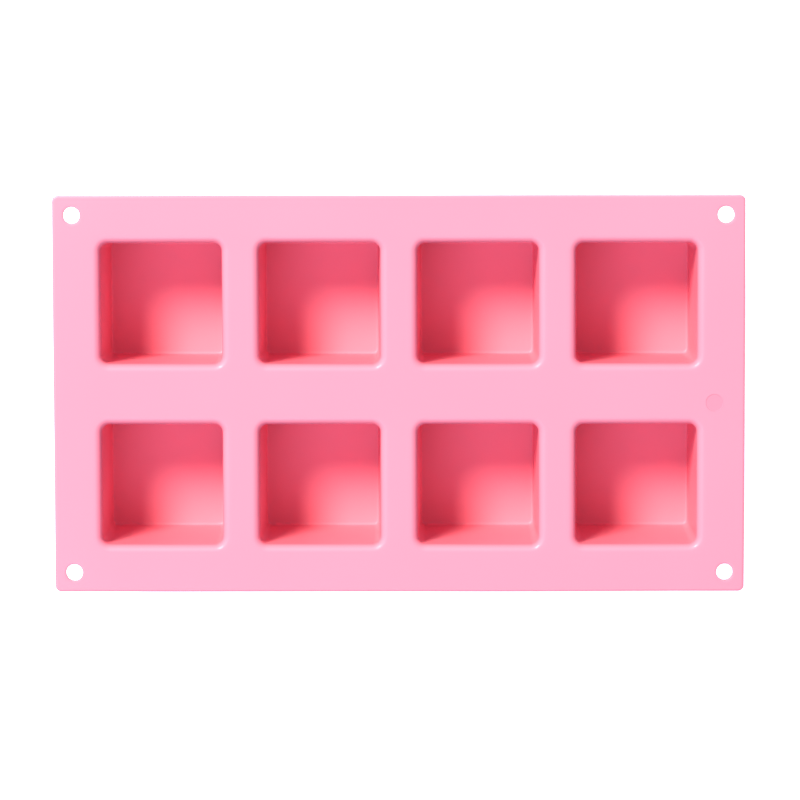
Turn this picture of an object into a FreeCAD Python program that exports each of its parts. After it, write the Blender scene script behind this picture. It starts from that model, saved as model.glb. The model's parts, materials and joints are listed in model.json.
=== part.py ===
import FreeCAD, Part
import math
import os

# A mould for cubes of soap, wax or resin, moulded in one piece in silicone: a flat sheet with
# two rows of four deep square cups hanging from it. The moulding is made whole and then
# divided into its zones, the sheet with its lips and each cup, which meet face to face.
#
# Millimetres, +Z up, +X along the rows. The origin is under the middle of the mould, on the
# surface that the cups stand on.

# Cups
COLUMNS = 4
ROW_NAMES = ("front", "back")   # from -Y to +Y
MOUTH = 50.5                    # width of a cavity where its walls meet the sheet's top face
CAVITY_DEPTH = 48.0             # from the sheet's top face to a cavity's floor
DRAFT_DEG = 1.55                # lean of each wall towards the floor, so that a cube comes out
MOUTH_CORNER_R = 3.4            # upright corners of a cavity, at its mouth
FLOOR_CORNER_R = 2.0            # the same corners at its floor
FLOOR_EDGE_R = 1.0              # round between a cavity's walls and floor
WALL = 2.0
FLOOR = 2.0
GAP_X = 15.2                    # sheet between neighbouring mouths in a row
GAP_Y = 25.1                    # sheet between the rows' mouths

# Sheet
SHEET = 2.0                     # thickness
MARGIN = 19.7                   # sheet outside the outermost mouths, on all four sides
SHEET_CORNER_R = 2.4            # corners of its outline
SHEET_EDGE_R = 0.8              # rounding of its rim, above and below
LIP_R = 3.0                     # round from the top face down into each cavity
UNDER_LIP_R = 1.0               # round from the underside down onto each cup

# Holes for hanging the mould up, one in each corner of the sheet
HOLE_R = 3.5
HOLE_INSET = 8.1                # from a hole's axis to both edges beside it
HOLE_EDGE_R = 0.25

# The shallow disc that the injection gate leaves in the top face
GATE_R = 3.6
GATE_DEPTH = 0.15
GATE_INSET = 12.6               # from its centre to the sheet's right edge
GATE_OFFSET_Y = -3.7            # from the line midway between the rows

# Where the lips end and the cups begin, below the rounds above and below the sheet
LIP_SPARE = 0.5

ROWS = len(ROW_NAMES)
HEIGHT = CAVITY_DEPTH + FLOOR
LENGTH = COLUMNS * MOUTH + (COLUMNS - 1) * GAP_X + 2 * MARGIN
WIDTH = ROWS * MOUTH + (ROWS - 1) * GAP_Y + 2 * MARGIN
UNDERSIDE = HEIGHT - SHEET
LIPS_END = HEIGHT - max(LIP_R, SHEET + UNDER_LIP_R) - LIP_SPARE
OUTER_FLOOR_EDGE_R = FLOOR_EDGE_R + min(WALL, FLOOR)
UP = FreeCAD.Vector(0, 0, 1)
SAME = 0.01                     # heights and places closer than this are the same
CLEAR = 5.0                     # how far a cutting tool stands out past what it cuts


def half_width(z):
    """Half the width of a cavity at height z."""
    return MOUTH / 2 - (HEIGHT - z) * math.tan(math.radians(DRAFT_DEG))


def corner_radius(z):
    """Radius of a cavity's upright corners at height z."""
    return MOUTH_CORNER_R - (MOUTH_CORNER_R - FLOOR_CORNER_R) * (HEIGHT - z) / CAVITY_DEPTH


def rounded_outline(x, y, half_x, half_y, radius, z):
    """A level rectangle with round corners, centred on x, y."""
    quarter = math.pi / 2
    corners = []
    for turn, (side_x, side_y) in enumerate(((1, 1), (-1, 1), (-1, -1), (1, -1))):
        middle = FreeCAD.Vector(x + side_x * (half_x - radius), y + side_y * (half_y - radius), z)
        circle = Part.Circle(middle, UP, radius)
        corners.append(Part.ArcOfCircle(circle, turn * quarter, (turn + 1) * quarter))
    edges = []
    for before, corner in zip(corners[-1:] + corners, corners):
        edges.append(Part.LineSegment(before.EndPoint, corner.StartPoint).toShape())
        edges.append(corner.toShape())
    return Part.Wire(edges)


def drafted_block(x, y, grow, low, high):
    """The shape of a cavity between two heights, grown outwards by the given thickness."""
    outlines = []
    for z in (low, high):
        half = half_width(z) + grow
        outlines.append(rounded_outline(x, y, half, half, corner_radius(z) + grow, z))
    return Part.makeLoft(outlines, True, True)


def level_edges(shape, z, half, centres):
    """The edges of a shape that lie at height z, no further than half from one of the centres."""
    reach = half + SAME

    def near(point):
        return any(abs(point.x - x) < reach and abs(point.y - y) < reach for x, y in centres)

    level = [e for e in shape.Edges if all(abs(v.Z - z) < SAME for v in e.Vertexes)]
    return [e for e in level if near(e.CenterOfMass)]


def cup_centres():
    """Node name to the x, y of each cup's axis, row by row and from -X to +X."""
    centres = {}
    for row, row_name in enumerate(ROW_NAMES):
        for column in range(COLUMNS):
            x = (column - (COLUMNS - 1) / 2) * (MOUTH + GAP_X)
            y = (row - (ROWS - 1) / 2) * (MOUTH + GAP_Y)
            centres["cup_%s_%d" % (row_name, column + 1)] = (x, y)
    return centres


def flat_sheet():
    """The sheet before its mouths are cut, with a rounded rim."""
    outline = rounded_outline(0, 0, LENGTH / 2, WIDTH / 2, SHEET_CORNER_R, UNDERSIDE)
    sheet = Part.Face(outline).extrude(UP * SHEET)
    rim = [e for e in sheet.Edges if e.BoundBox.ZLength < SAME]
    return sheet.makeFillet(SHEET_EDGE_R, rim)


def cup_outside(x, y):
    """The outside of a cup, from the surface it stands on up into the sheet."""
    block = drafted_block(x, y, WALL, 0, HEIGHT - SHEET / 2)
    half = half_width(0) + WALL
    return block.makeFillet(OUTER_FLOOR_EDGE_R, level_edges(block, 0, half, [(x, y)]))


def cavity(x, y):
    """The space inside a cup, with its mouth still sharp."""
    block = drafted_block(x, y, 0, FLOOR, HEIGHT + CLEAR)
    return block.makeFillet(FLOOR_EDGE_R, level_edges(block, FLOOR, half_width(FLOOR), [(x, y)]))


def hanging_hole(x, y):
    """A hole through the sheet, opening out in a small round at both faces."""
    hole = Part.makeCylinder(HOLE_R, SHEET, FreeCAD.Vector(x, y, UNDERSIDE), UP)
    mouth_r = HOLE_R + HOLE_EDGE_R
    for face, inwards in ((HEIGHT, -1), (UNDERSIDE, 1)):
        disc = Part.makeCylinder(mouth_r, HOLE_EDGE_R, FreeCAD.Vector(x, y, face), UP * inwards)
        round_rim = Part.makeTorus(
            mouth_r, HOLE_EDGE_R, FreeCAD.Vector(x, y, face + inwards * HOLE_EDGE_R), UP
        )
        hole = hole.fuse(disc.cut(round_rim))
    return hole


def whole_moulding(centres):
    """The sheet with all its cups, in one solid."""
    places = list(centres.values())
    body = flat_sheet().fuse([cup_outside(x, y) for x, y in places])
    body = body.cut([cavity(x, y) for x, y in places]).removeSplitter()
    lips = level_edges(body, HEIGHT, half_width(HEIGHT), places)
    body = body.makeFillet(LIP_R, lips)
    roots = level_edges(body, UNDERSIDE, half_width(UNDERSIDE) + WALL, places)
    body = body.makeFillet(UNDER_LIP_R, roots)
    hole_x = LENGTH / 2 - HOLE_INSET
    hole_y = WIDTH / 2 - HOLE_INSET
    holes = [hanging_hole(sx * hole_x, sy * hole_y) for sx in (-1, 1) for sy in (-1, 1)]
    gate = Part.makeCylinder(
        GATE_R, GATE_DEPTH, FreeCAD.Vector(LENGTH / 2 - GATE_INSET, GATE_OFFSET_Y, HEIGHT - GATE_DEPTH)
    )
    return body.cut(holes + [gate])


def zones(body, centres):
    """Node name to solid: the sheet with its lips, and what hangs below them at each cup."""
    corner = FreeCAD.Vector(-LENGTH / 2 - CLEAR, -WIDTH / 2 - CLEAR, LIPS_END)
    above = Part.makeBox(LENGTH + 2 * CLEAR, WIDTH + 2 * CLEAR, HEIGHT, corner)
    found = {"top_sheet": body.common(above)}
    side = MOUTH + min(GAP_X, GAP_Y)
    for name, (x, y) in centres.items():
        corner = FreeCAD.Vector(x - side / 2, y - side / 2, -CLEAR)
        found[name] = body.common(Part.makeBox(side, side, LIPS_END + CLEAR, corner))
    return found


os.makedirs("parts", exist_ok=True)
cups = cup_centres()
moulding = whole_moulding(cups)
print("whole: %d solid, %.0f mm3, %.1f x %.1f x %.1f mm" % (
    len(moulding.Solids), moulding.Volume, LENGTH, WIDTH, HEIGHT
))
for node, shape in zones(moulding, cups).items():
    print("%s: %d solid, %.0f mm3, valid %s" % (
        node, len(shape.Solids), shape.Volume, shape.isValid()
    ))
    shape.exportStep("parts/%s.step" % node)
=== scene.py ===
# %% [markdown]
# # A silicone mould for cubes of soap
#
# The real object is one soft moulding: a flat sheet, two millimetres thick, with two rows of
# deep square cups hanging from it. Nothing on it moves and nothing is screwed on, so all the
# work goes into three things: an even wall with properly rounded lips, the slight slackness
# of a rubbery sheet, and the satin skin of silicone.
#
# The design's solids are loaded first, as a frame that isn't touched. Every place and size
# below is read from them, so the pieces land where the design says.

# %% Load the frame
import json
import math

import bmesh
import bpy
from mathutils import Matrix, Vector, noise


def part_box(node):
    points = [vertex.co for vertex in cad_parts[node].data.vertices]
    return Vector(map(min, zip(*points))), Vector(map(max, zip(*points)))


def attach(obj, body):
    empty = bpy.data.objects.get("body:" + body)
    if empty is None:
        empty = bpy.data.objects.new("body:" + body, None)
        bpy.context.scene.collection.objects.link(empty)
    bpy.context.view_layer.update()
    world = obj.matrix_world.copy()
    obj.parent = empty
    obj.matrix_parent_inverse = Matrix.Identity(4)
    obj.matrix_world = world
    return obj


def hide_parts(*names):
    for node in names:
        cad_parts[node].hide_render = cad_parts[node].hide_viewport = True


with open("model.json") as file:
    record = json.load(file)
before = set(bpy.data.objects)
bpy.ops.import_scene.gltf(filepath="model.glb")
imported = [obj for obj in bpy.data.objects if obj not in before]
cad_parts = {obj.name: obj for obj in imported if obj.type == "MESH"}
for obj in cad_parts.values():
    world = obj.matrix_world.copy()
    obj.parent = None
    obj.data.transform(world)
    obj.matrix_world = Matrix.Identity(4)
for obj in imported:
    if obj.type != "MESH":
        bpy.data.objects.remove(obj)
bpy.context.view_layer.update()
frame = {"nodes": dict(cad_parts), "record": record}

print("nodes:", sorted(frame["nodes"]))

# %% [markdown]
# ## Measures
#
# The sheet's box gives its outline and its top face, and the height where its rolled lips
# end and the cups begin. Each cup's box gives the place of its axis. What a box can't tell,
# such as a wall's thickness or a radius, is a named value here, in metres like the rest.

# %% Read the design's places and name the moulding's own sizes
MM = 0.001
THICKNESS = 2.0 * MM            # of the sheet and of every wall and floor
DRAFT = math.radians(1.55)      # how far each wall leans in towards the floor
LIP_RADIUS = 3.0 * MM           # round from the sheet's top face into a cavity
MOUTH_CORNER_RADIUS = 3.4 * MM  # a cavity's upright corners, just below its lip
FLOOR_EDGE_RADIUS = 1.0 * MM    # round between a cavity's walls and floor
SHEET_CORNER_RADIUS = 2.4 * MM
SHEET_EDGE_RADIUS = 0.8 * MM    # the rim's rounding, above and below
HOLE_EDGE_RADIUS = 0.25 * MM
GATE_RADIUS = 3.6 * MM          # the mark that the injection gate leaves
GATE_DEPTH = 0.15 * MM
GATE_INSET = 12.6 * MM          # from its middle to the sheet's right edge
GATE_BELOW_MIDDLE = 3.7 * MM

sheet_low, sheet_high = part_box("top_sheet")
top = sheet_high.z
lips_end = sheet_low.z
half_length = sheet_high.x
half_width = sheet_high.y

cup_names = sorted(name for name in frame["nodes"] if name.startswith("cup_"))
cup_middles = {}
for name in cup_names:
    low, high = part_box(name)
    cup_middles[name] = Vector(((low.x + high.x) / 2, (low.y + high.y) / 2, 0))
cup_half = (high.x - low.x) / 2   # outside the wall, where the lips end
mouth_half = cup_half - THICKNESS + (top - lips_end) * math.tan(DRAFT)

holes = next(m for m in frame["record"]["mounts"] if m["name"] == "hanging_holes")["dims"]
hole_radius = holes["hole_r_mm"] * MM
hole_x = holes["spacing_x_mm"] * MM / 2
hole_y = holes["spacing_y_mm"] * MM / 2
gate_middle = Vector((half_length - GATE_INSET, -GATE_BELOW_MIDDLE, top))
print(f"sheet {2 * half_length:.4f} x {2 * half_width:.4f} m, "
      f"top at {top:.4f}, lips end at {lips_end:.4f}")
print(f"{len(cup_names)} cups, mouths {2 * mouth_half:.4f} m across")

# %% [markdown]
# ## Draw the outlines
#
# The moulding starts as a drawing on the sheet's top face: the sheet's own outline, the line
# where each mouth starts to roll in, the four holes and the gate mark. A grid of one square
# is scaled to size and its four corner points are bevelled, which gives true arcs. Drawing
# first and filling later keeps every round line exact, where cutting holes with a boolean
# would leave slivers around them.
#
# Each outline gets a narrow flat band beside it, made by insetting. Smooth shading blends the
# slope of neighbouring faces, and the band keeps the tilt of a rounded edge from spreading
# over the flat sheet as a false glow. Each cavity's floor gets one too, narrower than the
# radius of its corners, because a wider one would fold over there.
#
# A round lip needs less room than its radius when the wall below it leans, so the line where
# the lip starts is worked out from the lean.

# %% Outlines of the sheet, the mouths, the holes and the gate mark
CORNER_STEPS = 10
CIRCLE_STEPS = 48
EDGE_BAND = 1.3 * MM
FLOOR_BAND = 0.6 * MM            # less than the radius of the floor's corners

lip_turn = math.pi / 2 - DRAFT
lip_start = mouth_half + LIP_RADIUS * math.tan(lip_turn / 2)
lip_start_radius = MOUTH_CORNER_RADIUS + LIP_RADIUS * math.sin(lip_turn)

shell = bmesh.new()
zone_of = shell.faces.layers.int.new("zone")   # 0 for the sheet, then one number for each cup


def draw_rectangle(middle, half_x, half_y, radius):
    """One flat face with round corners, on the sheet's top face."""
    corners = bmesh.ops.create_grid(shell, x_segments=1, y_segments=1, size=1)["verts"]
    bmesh.ops.scale(shell, vec=(half_x, half_y, 1), verts=corners)
    bmesh.ops.translate(shell, vec=(middle.x, middle.y, top), verts=corners)
    done = bmesh.ops.bevel(
        shell, geom=corners, offset=radius, offset_type="OFFSET", segments=CORNER_STEPS,
        profile=0.5, affect="VERTICES", material=-1,
    )
    return done["verts"][0].link_faces[0]


def draw_circle(middle, radius):
    place = Matrix.Translation((middle.x, middle.y, top))
    points = bmesh.ops.create_circle(
        shell, segments=CIRCLE_STEPS, radius=radius, matrix=place, cap_ends=True
    )["verts"]
    return points[0].link_faces[0]


def add_band(face):
    """Insets a face by the width of a band; returns the band's outer edges."""
    band = bmesh.ops.inset_individual(
        shell, faces=[face], thickness=EDGE_BAND, use_even_offset=True
    )["faces"]
    return [e for part in band for e in part.edges if e.is_boundary]


inside = draw_rectangle(Vector((0, 0)), half_length, half_width, SHEET_CORNER_RADIUS)
add_band(inside)
to_fill = list(inside.edges)
opened = [inside]
for number, middle in enumerate(cup_middles.values(), start=1):
    reach = lip_start + EDGE_BAND
    mouth = draw_rectangle(middle, reach, reach, lip_start_radius + EDGE_BAND)
    to_fill += add_band(mouth)
    mouth[zone_of] = number
for x in (-hole_x, hole_x):
    for y in (-hole_y, hole_y):
        disc = draw_circle(Vector((x, y)), hole_radius + EDGE_BAND)
        to_fill += add_band(disc)
        opened.append(disc)
to_fill += add_band(draw_circle(gate_middle, GATE_RADIUS + EDGE_BAND))
bmesh.ops.delete(shell, geom=opened, context="FACES_ONLY")
print(f"drawn: {len(to_fill)} edges to fill between")

# %% [markdown]
# ## Fill the sheet
#
# `triangle_fill` covers what lies between the outlines and leaves the round ones open, and
# `join_triangles` pairs what it can into quads.

# %% Fill between the outlines
triangles = bmesh.ops.triangle_fill(
    shell, use_beauty=True, use_dissolve=False, edges=to_fill, normal=(0, 0, 1)
)["geom"]
bmesh.ops.join_triangles(
    shell, faces=[g for g in triangles if isinstance(g, bmesh.types.BMFace)],
    angle_face_threshold=math.pi, angle_shape_threshold=math.pi,
)
all_level = all(f.normal.z > 0 for f in shell.faces)
print(f"sheet filled: {len(shell.faces)} faces, all level: {all_level}")

# %% [markdown]
# ## Sink the cavities
#
# A mould maker mills each cavity with one tool that follows the wall round and round, so
# every level of it is the same rounded square, a little smaller. `inset_individual` does the
# same: each step moves the mouth's face inwards and down and leaves a ring of quads behind.
# Quarter turns give the lip and the edge of the floor, and straight steps give the wall. A
# bevel could round the lip afterwards, but it would have to fight the arcs of the corners.
#
# The faces of each cavity are numbered in a layer of the mesh as they are made, from just
# below the lip, so that the cup can be parted from the sheet later.

# %% Inset each mouth down to its floor
LIP_STEPS = 10
FLOOR_EDGE_STEPS = 5
WALL_STEPS = 7

lip_drop = LIP_RADIUS * (1 - math.cos(lip_turn))
edge_drop = FLOOR_EDGE_RADIUS * (1 - math.sin(DRAFT))
wall_drop = top - THICKNESS - lip_drop - edge_drop


def step_down(face, inwards, down):
    bmesh.ops.inset_individual(
        shell, faces=[face], thickness=inwards, depth=-down, use_even_offset=True
    )


def sink_lip(face):
    for step in range(LIP_STEPS):
        before, after = (lip_turn * k / LIP_STEPS for k in (step, step + 1))
        step_down(face, LIP_RADIUS * (math.sin(after) - math.sin(before)),
                  LIP_RADIUS * (math.cos(before) - math.cos(after)))


def sink_wall(face, drop, steps):
    for _ in range(steps):
        step_down(face, drop / steps * math.tan(DRAFT), drop / steps)


def sink_floor_edge(face):
    turn = math.pi / 2 - DRAFT
    for step in range(FLOOR_EDGE_STEPS):
        before, after = (DRAFT + turn * k / FLOOR_EDGE_STEPS for k in (step, step + 1))
        step_down(face, FLOOR_EDGE_RADIUS * (math.cos(before) - math.cos(after)),
                  FLOOR_EDGE_RADIUS * (math.sin(after) - math.sin(before)))


collar = top - lips_end - lip_drop
for number in range(1, len(cup_names) + 1):
    face = next(f for f in shell.faces if f[zone_of] == number)
    face[zone_of] = 0
    sink_lip(face)
    sink_wall(face, collar, 1)
    face[zone_of] = number
    sink_wall(face, wall_drop - collar, WALL_STEPS)
    sink_floor_edge(face)
    step_down(face, FLOOR_BAND, 0)
floor = min(v.co.z for v in shell.verts)
print(f"cavities sunk to {floor / MM:.2f} mm, {len(shell.faces)} faces")

# %% [markdown]
# ## Slice it finely enough to flex
#
# A big face stays flat however its corners move. Planes are passed through the whole shell,
# a few millimetres apart and lined up with the cups, so that sheet, walls and floors all get
# a net of points that can follow a gentle wave.

# %% Slice the shell
SLICES_PER_PITCH = 8
SNAP = 0.2 * MM


def slice_across(direction, places):
    for place in places:
        everything = shell.verts[:] + shell.edges[:] + shell.faces[:]
        bmesh.ops.bisect_plane(
            shell, geom=everything, dist=SNAP, plane_co=direction * place, plane_no=direction
        )


def slice_places(middles, limit):
    """Evenly spaced places lined up with the cups' middles, short of the sheet's edge."""
    steps = sorted(set(round(m, 6) for m in middles))
    gap = (steps[1] - steps[0]) / SLICES_PER_PITCH
    count = int((limit - EDGE_BAND - steps[-1]) / gap)
    first = steps[0] - gap * count
    total = round((steps[-1] - steps[0]) / gap) + 2 * count + 1
    return [first + gap * k for k in range(total)]


slice_across(Vector((1, 0, 0)), slice_places([m.x for m in cup_middles.values()], half_length))
slice_across(Vector((0, 1, 0)), slice_places([m.y for m in cup_middles.values()], half_width))
print(f"sliced: {len(shell.faces)} faces")

# %% [markdown]
# ## Give it its wall
#
# So far the shell is the skin that soap touches. `solidify` grows the other side of the wall
# at an even distance, which is also what makes the outside radii right by themselves: the
# lip's three millimetres outside become one underneath, and a cup's bottom edge gets the
# floor's thickness added to its small inner round. The rim and the holes are then rounded
# with a bevel on the only square edges that are left.

# %% Thicken the shell, round its rims and press in the gate mark
SQUARE = math.radians(60)

bmesh.ops.recalc_face_normals(shell, faces=shell.faces[:])
if sum(f.normal.z * f.calc_area() for f in shell.faces) < 0:
    bmesh.ops.reverse_faces(shell, faces=shell.faces[:])
bmesh.ops.solidify(shell, geom=shell.faces[:], thickness=THICKNESS)
bmesh.ops.recalc_face_normals(shell, faces=shell.faces[:])
heights = [v.co.z for v in shell.verts]
print(f"wall grown, from {min(heights) / MM:.2f} mm to {max(heights) / MM:.2f} mm")

# %% Round the rim and the holes, and press in the gate mark
RIM_STEPS = 4
HOLE_STEPS = 2
GATE_SLOPE = 0.15 * MM


def round_off(edges, radius, steps):
    bmesh.ops.bevel(
        shell, geom=edges, offset=radius, offset_type="OFFSET", segments=steps,
        profile=0.5, affect="EDGES", material=-1,
    )


def beside_hole(edge):
    point = edge.verts[0].co
    return math.hypot(abs(point.x) - hole_x, abs(point.y) - hole_y) < hole_radius + SNAP


square = [e for e in shell.edges if e.calc_face_angle() > SQUARE]
hole_rims = [e for e in square if beside_hole(e)]
sheet_rim = [e for e in square if not beside_hole(e)]
round_off(hole_rims, HOLE_EDGE_RADIUS, HOLE_STEPS)
round_off(sheet_rim, SHEET_EDGE_RADIUS, RIM_STEPS)

gate_faces = [f for f in shell.faces if (f.calc_center_median() - gate_middle).length < GATE_RADIUS]
gate_rim = bmesh.ops.inset_region(
    shell, faces=gate_faces, thickness=GATE_SLOPE, depth=-GATE_DEPTH, use_even_offset=True
)["faces"]
for edge in {e for f in gate_rim for e in f.edges}:
    edge.smooth = False
print(f"{len(hole_rims)} edges of holes and {len(sheet_rim)} of the rim rounded, "
      f"{len(gate_faces)} faces in the mark")

# %% [markdown]
# ## Let it flex
#
# Silicone this thin never lies as flat as its drawing. The free margin of the sheet hangs a
# little, more so at the corners, the sheet has a slight wave, the lips wander by a few tenths
# of a millimetre, and the tall walls bow between lip and floor. The two rows of cups lean a
# little towards each other, which carries their floors along while the lips stay in place.
# One smooth function moves every point, both sides of the wall alike, so the thickness stays
# even. All the movement is down or inwards at the outside, so the mould stays inside the size
# of its design. Noise from `mathutils` gives the same wave each time the script runs.

# %% Move the points
SAG = 0.5 * MM                  # droop of the sheet's edge below its middle
SHEET_WAVE = 0.25 * MM
WANDER = 0.20 * MM              # sideways, of lips and edges
WALL_BOW = 0.35 * MM
ROW_LEAN = 1.2 * MM             # of each row's floors towards the other row
WAVE_LENGTH = 85 * MM
CHANNEL_STEP = 7.3              # sets each use of the noise well apart from the others

cups_half_length = max(m.x for m in cup_middles.values()) + cup_half
cups_half_width = max(m.y for m in cup_middles.values()) + cup_half


def wave(point, channel):
    """A smooth value from -1 to 1 that changes over about a wave length."""
    return noise.noise(point / WAVE_LENGTH + Vector((0, 0, CHANNEL_STEP * channel)))


def margin_share(place, inner, outer):
    """0 over the cups, growing to 1 at the sheet's edge."""
    return min(max((abs(place) - inner) / (outer - inner), 0), 1) ** 1.5


def flexed(point):
    flat = Vector((point.x, point.y, 0))
    along = margin_share(point.x, cups_half_length, half_length)
    across = margin_share(point.y, cups_half_width, half_width)
    height = min(max(point.z / lips_end, 0), 1)
    droop = SAG * (along + across) * (0.6 + 0.4 * wave(flat, 1))
    dip = SHEET_WAVE * (0.5 + 0.5 * wave(flat, 2))
    drift = Vector((wave(flat, 3), wave(flat, 4), 0)) * WANDER
    pulled_in = Vector((
        -math.copysign(WANDER, point.x) * (abs(point.x) / half_length) ** 2,
        -math.copysign(WANDER, point.y) * (abs(point.y) / half_width) ** 2, 0,
    ))
    bulge = math.sin(math.pi * height) * WALL_BOW
    bow = Vector((wave(point, 5), wave(point, 6), 0)) * bulge
    lean = Vector((0, -math.copysign(ROW_LEAN, point.y), 0)) * (1 - height)
    sunk = Vector((0, 0, (droop + dip) * height ** 4))
    return point + (drift + pulled_in) * height + bow + lean - sunk


for vert in shell.verts:
    vert.co = flexed(vert.co)
print(f"flexed: highest point {max(v.co.z for v in shell.verts) / MM:.2f} mm, "
      f"half length {max(v.co.x for v in shell.verts) / MM:.2f} mm")

# %% [markdown]
# ## Part it into its zones
#
# The real moulding is one piece. Its record names the sheet and each cup on its own, so the
# model is parted there too, on a ring of edges that lies on the flat of the wall just under
# the lip. Each piece is a copy of the whole shell with the other zones deleted. Both sides of
# the wall end at the same ring, so `bridge_loops` closes the cut with a neat band of quads,
# and the pieces meet point for point.
#
# The cut's own edges are marked sharp. Without that, smooth shading would round the wall over
# into the cut and the join would show as a dark line.

# %% Part the shell, close each cut and make the objects
def close_cuts(bm):
    """Bridges the inner and outer edge of each open cut, one cup at a time."""
    for middle in cup_middles.values():
        cut = [e for e in bm.edges if e.is_boundary
               and abs(e.verts[0].co.x - middle.x) < cup_half + MM
               and abs(e.verts[0].co.y - middle.y) < cup_half + MM]
        if cut:
            faces = bmesh.ops.bridge_loops(bm, edges=cut)["faces"]
            for edge in {e for f in faces for e in f.edges}:
                edge.smooth = False


def part_off(number, name):
    """The piece that stands for a node: the faces of the shell with that zone's number."""
    bm = shell.copy()
    zone = bm.faces.layers.int["zone"]
    others = [f for f in bm.faces if f[zone] != number]
    bmesh.ops.delete(bm, geom=others, context="FACES")
    for face in bm.faces:
        face.smooth = True
    close_cuts(bm)
    bmesh.ops.recalc_face_normals(bm, faces=bm.faces[:])
    mesh = bpy.data.meshes.new("soft_" + name)
    bm.to_mesh(mesh)
    bm.free()
    piece = bpy.data.objects.new("soft_" + name, mesh)
    bpy.context.scene.collection.objects.link(piece)
    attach(piece, "root")
    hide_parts(name)
    return piece


pieces = [part_off(number, name) for number, name in enumerate(["top_sheet"] + cup_names)]
for piece in pieces:
    print(f"{piece.name}: {len(piece.data.polygons)} faces")

# %% [markdown]
# ## Silicone
#
# The skin has the fine satin of the blasted metal tool that it was moulded in, a faint flow
# from the moulding, and a few broad, faint differences in tone. Silicone has a low sheen of
# its own, which a thin clear coat stands for: it is what draws the small pale glint on each
# lip. The shaded inside of a cup glows a deeper red than the sheet because the light there has
# bounced between pink walls, so the base colour is strong and nothing else is needed for it.
#
# Real silicone also lets light through a little. That isn't modelled: each zone is a closed
# piece, scattered light would stop at the joins between them, and every cup would get a dark
# line round it.
#
# The nodes are written as sums. A small class wraps a socket, so that `tone * 0.5 + 0.5` adds
# the Math nodes by itself, and one method adds any other node.

# %% A socket that can be added and multiplied
class Value:
    """A node socket that takes part in Python sums by adding Math nodes."""

    def __init__(self, sheet, socket):
        self.sheet, self.socket = sheet, socket

    def math(self, operation, first, second):
        return self.sheet.node("ShaderNodeMath", {"operation": operation}, {0: first, 1: second})

    def __add__(self, other):
        return self.math("ADD", self, other)

    def __mul__(self, other):
        return self.math("MULTIPLY", self, other)

    __radd__ = __add__
    __rmul__ = __mul__


class Sheet:
    """A material's node tree."""

    def __init__(self, name):
        self.material = bpy.data.materials.new(name)
        self.material.use_nodes = True
        self.tree = self.material.node_tree
        self.tree.nodes.clear()

    def node(self, kind, settings, sockets, output=0):
        """Adds a node, sets it up, fills its sockets with values or links; returns an output."""
        made = self.tree.nodes.new(kind)
        for setting, value in settings.items():
            setattr(made, setting, value)
        for key, value in sockets.items():
            if isinstance(value, Value):
                self.tree.links.new(value.socket, made.inputs[key])
            else:
                made.inputs[key].default_value = value
        return Value(self, made.outputs[output]) if made.outputs else None

    def mix(self, share, first, second):
        """A colour between two others."""
        sockets = {0: share, 6: first, 7: second}
        return self.node("ShaderNodeMix", {"data_type": "RGBA"}, sockets, 2)

    def noise(self, place, scale, detail):
        sockets = {"Vector": place, "Scale": scale, "Detail": detail}
        return self.node("ShaderNodeTexNoise", {}, sockets)


# %% The pink silicone
PINK = (0.96, 0.335, 0.418, 1)
DEEPER_PINK = (0.955, 0.318, 0.400, 1)
GATE_PINK = (0.93, 0.302, 0.385, 1)
TONE_SCALE = 14                  # broad patches, per metre
SATIN_SCALE = 2600               # the tool's blasted surface, per metre
RIPPLE_SCALE = 160               # faint flow of the moulding
GATE_BLUR = 0.5 * MM             # half the width over which the gate mark's tone fades out
ROUGHNESS = 0.47
RELIEF = 0.4 * MM                # how deep the bump's heights reach
RELIEF_STRENGTH = 0.10
REFRACTION = 1.41
SHEEN = {"Coat Weight": 0.2, "Coat Roughness": 0.15}


def silicone(name):
    sheet = Sheet(name)
    place = sheet.node("ShaderNodeTexCoord", {}, {}, "Object")
    tone = sheet.noise(place, TONE_SCALE, 2)
    ripple = sheet.noise(place, RIPPLE_SCALE, 3)
    satin = sheet.noise(place, SATIN_SCALE, 2)
    from_gate = sheet.node(
        "ShaderNodeVectorMath", {"operation": "DISTANCE"},
        {0: place, 1: (gate_middle.x, gate_middle.y, top)}, "Value",
    )
    gate_share = sheet.node("ShaderNodeMapRange", {"interpolation_type": "SMOOTHSTEP"}, {
        "Value": from_gate,
        "From Min": GATE_RADIUS - GATE_BLUR, "From Max": GATE_RADIUS + GATE_BLUR,
        "To Min": 1, "To Max": 0,
    })
    colour = sheet.mix(gate_share, sheet.mix(tone, PINK, DEEPER_PINK), GATE_PINK)
    roughness = ROUGHNESS + ripple * 0.06 + satin * 0.04
    height = ripple * 0.10 + satin * 0.10
    normal = sheet.node(
        "ShaderNodeBump", {},
        {"Strength": RELIEF_STRENGTH, "Distance": RELIEF, "Height": height},
    )
    skin = sheet.node("ShaderNodeBsdfPrincipled", {}, {
        "Base Color": colour, "Roughness": roughness, "Normal": normal,
        "IOR": REFRACTION, **SHEEN,
    })
    sheet.node("ShaderNodeOutputMaterial", {}, {"Surface": skin})
    return sheet.material


pink_silicone = silicone("pink_silicone")
for piece in pieces:
    piece.data.materials.append(pink_silicone)

# %% [markdown]
# ## Table, light and camera
#
# The mould stands on a pale table under a large soft lamp, far off to the back and left, with
# a weaker one in front and light from all round. The main lamp is as wide as it is to give the
# broad half-shadow that crosses each cavity's floor. It is slightly warm, and the rest slightly
# blue, so that the level sheet turns a cooler pink than the red depth of the cups.
#
# The camera hangs high over the back edge and looks a few degrees forward, through a long
# lens. The display gamma is a little under one, for the contrast of a studio picture.

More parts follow.
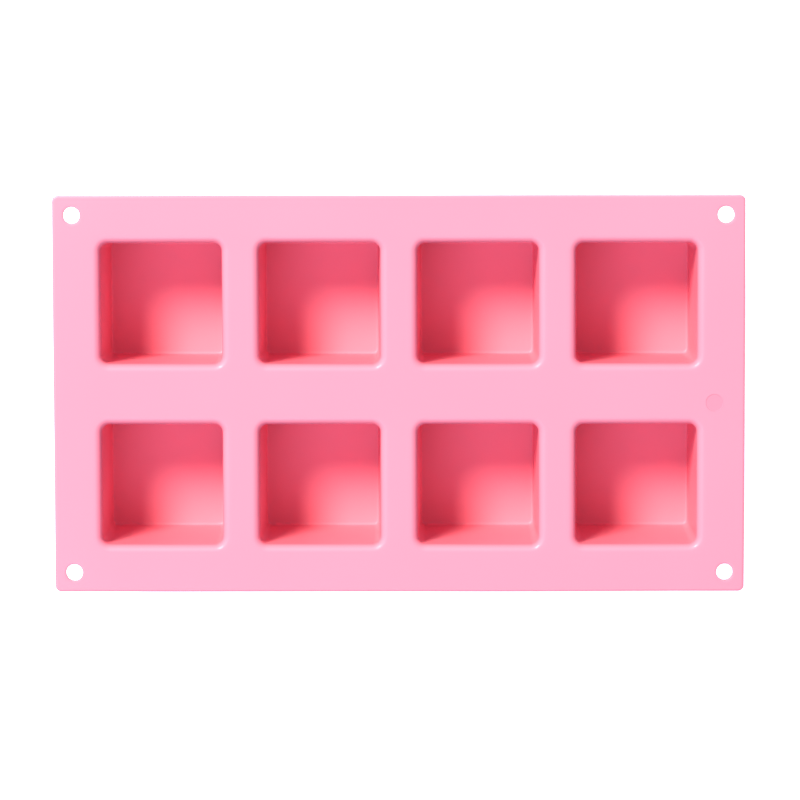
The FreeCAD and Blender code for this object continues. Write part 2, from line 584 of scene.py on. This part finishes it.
# %% Pale table
TABLE_SIZE = 60.0                # from its middle, so that no low view finds its edge
TABLE_DROP = 0.1 * MM            # just under the cups, so that the two faces never coincide
TABLE_GLOW = 0.78                # keeps it white where the mould shades it


def pale_table():
    sheet = Sheet("pale_table")
    surface = sheet.node("ShaderNodeBsdfPrincipled", {}, {
        "Base Color": (0.8, 0.8, 0.8, 1), "Roughness": 0.9,
        "Emission Color": (1, 1, 1, 1), "Emission Strength": TABLE_GLOW,
    })
    sheet.node("ShaderNodeOutputMaterial", {}, {"Surface": surface})
    bm = bmesh.new()
    place = Matrix.Translation((0, 0, -TABLE_DROP))
    bmesh.ops.create_grid(bm, x_segments=1, y_segments=1, size=TABLE_SIZE, matrix=place)
    mesh = bpy.data.meshes.new("table")
    bm.to_mesh(mesh)
    bm.free()
    mesh.materials.append(sheet.material)
    table = bpy.data.objects.new("table", mesh)
    bpy.context.scene.collection.objects.link(table)


pale_table()

# %% Soft lamps and surrounding light
LAMP_HEIGHT = 4.0
MAIN_LEAN = Vector((-0.55, 0.68, 1))      # towards the lamp, for each metre up
MAIN_SPREAD = 0.46                        # its width, for each metre of its height
MAIN_WATTS = 385
MAIN_TINT = (1.0, 0.98, 0.87)             # warm
SIDE_LEAN = Vector((-0.25, -0.55, 1))
SIDE_SPREAD = 0.8
SIDE_WATTS = 60
AMBIENT = 0.40                            # strength of the light from all round
DAY_TINT = (0.92, 0.98, 1.28)             # cool, for that light and the side lamp


def soft_lamp(name, lean, spread, watts, tint):
    lamp = bpy.data.lights.new(name, "AREA")
    lamp.color = tint
    lamp.shape = "DISK"
    lamp.size = spread * LAMP_HEIGHT
    lamp.energy = watts
    holder = bpy.data.objects.new(name, lamp)
    holder.location = Vector((0, 0, top)) + lean * LAMP_HEIGHT
    holder.rotation_euler = lean.to_track_quat("Z", "Y").to_euler()
    bpy.context.scene.collection.objects.link(holder)


def surrounding_light():
    world = bpy.data.worlds.new("studio")
    world.use_nodes = True
    sky = world.node_tree.nodes["Background"]
    sky.inputs["Color"].default_value = (*DAY_TINT, 1)
    sky.inputs["Strength"].default_value = AMBIENT
    bpy.context.scene.world = world


soft_lamp("main_lamp", MAIN_LEAN, MAIN_SPREAD, MAIN_WATTS, MAIN_TINT)
soft_lamp("side_lamp", SIDE_LEAN, SIDE_SPREAD, SIDE_WATTS, DAY_TINT)
surrounding_light()

# %% Camera
CAMERA_HEIGHT = 1.80             # over the sheet
CAMERA_FOOT = Vector((0.012, 0.176))
AIM = Vector((0.0004, -0.0023))
VIEW_WIDTH = 0.3317              # what the picture spans at the sheet
CAMERA_ROLL = math.radians(-0.11)
DISPLAY_GAMMA = 0.82


def overhead_camera():
    camera = bpy.data.cameras.new("camera")
    stand = Vector((CAMERA_FOOT.x, CAMERA_FOOT.y, top + CAMERA_HEIGHT))
    aim = Vector((AIM.x, AIM.y, top))
    camera.lens = camera.sensor_width * (aim - stand).length / VIEW_WIDTH
    holder = bpy.data.objects.new("camera", camera)
    back = (stand - aim).normalized()
    right = Vector((0, 1, 0)).cross(back).normalized()
    turn = Matrix((right, back.cross(right), back)).transposed()
    turn = turn @ Matrix.Rotation(CAMERA_ROLL, 3, "Z")
    holder.matrix_world = Matrix.Translation(stand) @ turn.to_4x4()
    bpy.context.scene.collection.objects.link(holder)
    bpy.context.scene.camera = holder
    print(f"lens {camera.lens:.0f} mm")


overhead_camera()
bpy.context.scene.view_settings.view_transform = "Standard"
bpy.context.scene.view_settings.gamma = DISPLAY_GAMMA
